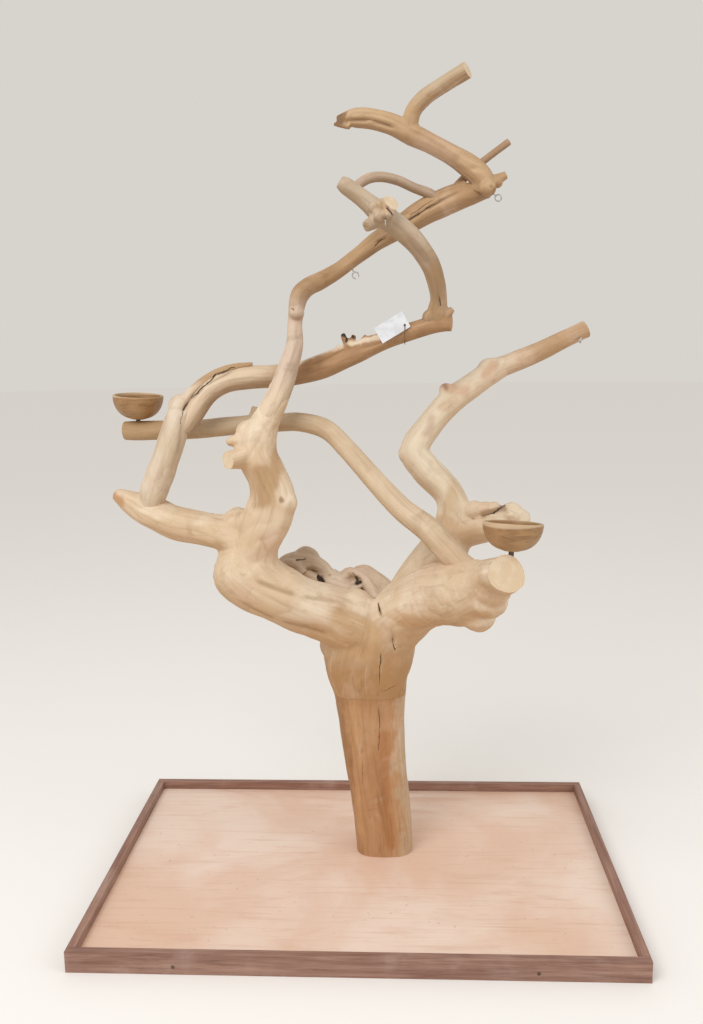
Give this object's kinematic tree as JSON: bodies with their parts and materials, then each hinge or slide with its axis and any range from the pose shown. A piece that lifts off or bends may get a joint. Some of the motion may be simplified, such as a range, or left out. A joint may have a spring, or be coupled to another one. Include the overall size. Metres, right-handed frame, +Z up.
{
  "type": "pet play tree",
  "caption": "Free-standing natural-branch perch and play tree for pets, bolted up through a low lipped tray, with turning wooden food bowls.",
  "frame": {"origin": "on the floor, in the middle of the tray's outline", "axes": "+X to the right and +Y to the back as seen from the tray's long front side, +Z up along the trunk"},
  "size_m": [1.22, 0.813, 1.8843],
  "materials": {
    "tray_ply": "light hardwood plywood, clear matt lacquer",
    "rail_wood": "dark reddish brown hardwood, oiled",
    "trunk_wood": "debarked and sanded hardwood, warm brown",
    "branch_wood": "sandblasted hardwood limb, pale and dry",
    "dowel_wood": "plain birch dowel",
    "bowl_wood": "turned hardwood, food-safe oil",
    "steel": "zinc-plated steel",
    "tag_card": "blank matt white card",
    "tag_band": "brown rubber band"
  },
  "bodies": {
    "stand": {"tray_panel": "tray_ply", "rail_front": "rail_wood", "rail_back": "rail_wood", "rail_left": "rail_wood", "rail_right": "rail_wood", "rail_screw_1": "steel", "rail_screw_2": "steel", "rail_screw_3": "steel", "rail_screw_4": "steel", "rail_screw_5": "steel", "rail_screw_6": "steel", "rail_screw_7": "steel", "rail_screw_8": "steel", "lag_screw_1": "steel", "lag_screw_2": "steel", "lag_screw_3": "steel", "lag_screw_4": "steel", "lag_washer_1": "steel", "lag_washer_2": "steel", "lag_washer_3": "steel", "lag_washer_4": "steel", "trunk_post": "trunk_wood", "trunk_dowel_left": "dowel_wood", "trunk_dowel_right": "dowel_wood", "right_back_dowel": "dowel_wood", "right_tip_dowel": "dowel_wood", "mid_dowel": "dowel_wood", "riser_dowel": "dowel_wood", "sweep_dowel": "dowel_wood", "hook_dowel": "dowel_wood", "central_dowel": "dowel_wood", "top_dowel": "dowel_wood", "thin_twig_dowel": "dowel_wood", "curved_twig_dowel": "dowel_wood", "crown": "branch_wood", "right_back_limb": "branch_wood", "right_tip": "branch_wood", "mid_branch": "branch_wood", "left_riser": "branch_wood", "sweep_branch": "branch_wood", "hook_branch": "branch_wood", "central_branch": "branch_wood", "top_branch": "branch_wood", "thin_twig": "branch_wood", "curved_twig": "branch_wood", "screw_eye_end": "steel", "screw_eye_under": "steel", "screw_eye_hook": "steel", "screw_eye_tip": "steel", "left_bowl_screw": "steel", "left_bowl_spacer": "steel", "right_bowl_screw": "steel", "right_bowl_spacer": "steel", "tag_band": "tag_band"},
    "left_bowl": {"left_bowl": "bowl_wood"},
    "right_bowl": {"right_bowl": "bowl_wood"},
    "tag": {"tag": "tag_card"}
  },
  "joints": [
    {"name": "left_bowl_spin", "type": "hinge", "parent": "stand", "child": "left_bowl", "pos_m": [-0.54, 0.13, 1.106], "axis": [0.061, -0.0523, 0.9968], "continuous": true},
    {"name": "right_bowl_spin", "type": "hinge", "parent": "stand", "child": "right_bowl", "pos_m": [0.323, -0.3, 0.864], "axis": [0.0607, 0.1045, 0.9927], "continuous": true},
    {"name": "tag_swing", "type": "hinge", "parent": "stand", "child": "tag", "pos_m": [0.114, -0.0235, 1.336], "axis": [0, -1, 0], "range_deg": [-30, 30]}
  ]
}
